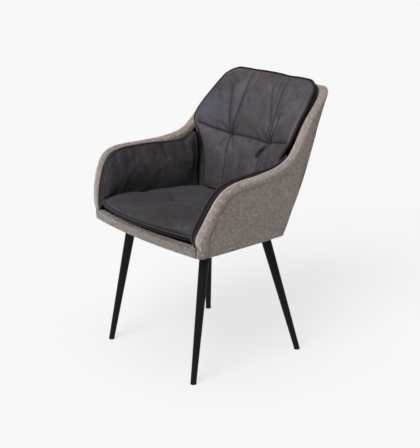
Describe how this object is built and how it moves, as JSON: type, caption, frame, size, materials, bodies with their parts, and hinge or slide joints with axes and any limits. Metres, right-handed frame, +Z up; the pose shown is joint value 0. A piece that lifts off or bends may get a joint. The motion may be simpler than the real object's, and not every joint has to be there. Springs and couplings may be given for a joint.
{
  "type": "dining chair",
  "caption": "Upholstered dining armchair: woven bucket shell with padded arms, tufted dark pads and tapered splayed steel legs.",
  "frame": {"origin": "on the floor, under the middle of the chair's bounding box", "axes": "+Z up, -Y to the chair's front, +X to the sitter's left"},
  "size_m": [0.6328, 0.6061, 0.8621],
  "materials": {
    "fabric": "woven",
    "pad_cover": "matt",
    "piping": "matt",
    "foam": "matt",
    "plywood": "raw",
    "black_steel": "matt powder coat",
    "zinc": "zinc plated",
    "dust_cloth": "matt",
    "glide": "matt"
  },
  "bodies": {
    "root": {"seat_board": "plywood", "front_rail": "plywood", "left_arm_panel": "plywood", "right_arm_panel": "plywood", "back_panel": "plywood", "panel_brackets": "zinc", "bracket_screws": "zinc", "left_shell_foam": "foam", "right_shell_foam": "foam", "back_shell_foam": "foam", "front_band_foam": "foam", "left_shell_cover": "fabric", "right_shell_cover": "fabric", "back_shell_cover": "fabric", "front_band_cover": "fabric", "seat_foam": "foam", "seat_cover": "pad_cover", "seat_piping": "piping", "back_pad_foam": "foam", "back_pad_cover": "pad_cover", "back_pad_piping": "piping", "left_arm_pad_foam": "foam", "left_arm_pad_cover": "pad_cover", "left_arm_pad_piping": "piping", "right_arm_pad_foam": "foam", "right_arm_pad_cover": "pad_cover", "right_arm_pad_piping": "piping", "dust_cover": "dust_cloth", "dust_cover_staples": "zinc", "leg_plate_front_left": "black_steel", "leg_plate_front_right": "black_steel", "leg_plate_rear_left": "black_steel", "leg_plate_rear_right": "black_steel", "leg_front_left": "black_steel", "leg_front_right": "black_steel", "leg_rear_left": "black_steel", "leg_rear_right": "black_steel", "foot_glide_front_left": "glide", "foot_glide_front_right": "glide", "foot_glide_rear_left": "glide", "foot_glide_rear_right": "glide", "leg_bolts": "zinc", "tee_nuts": "zinc"}
  },
  "joints": []
}
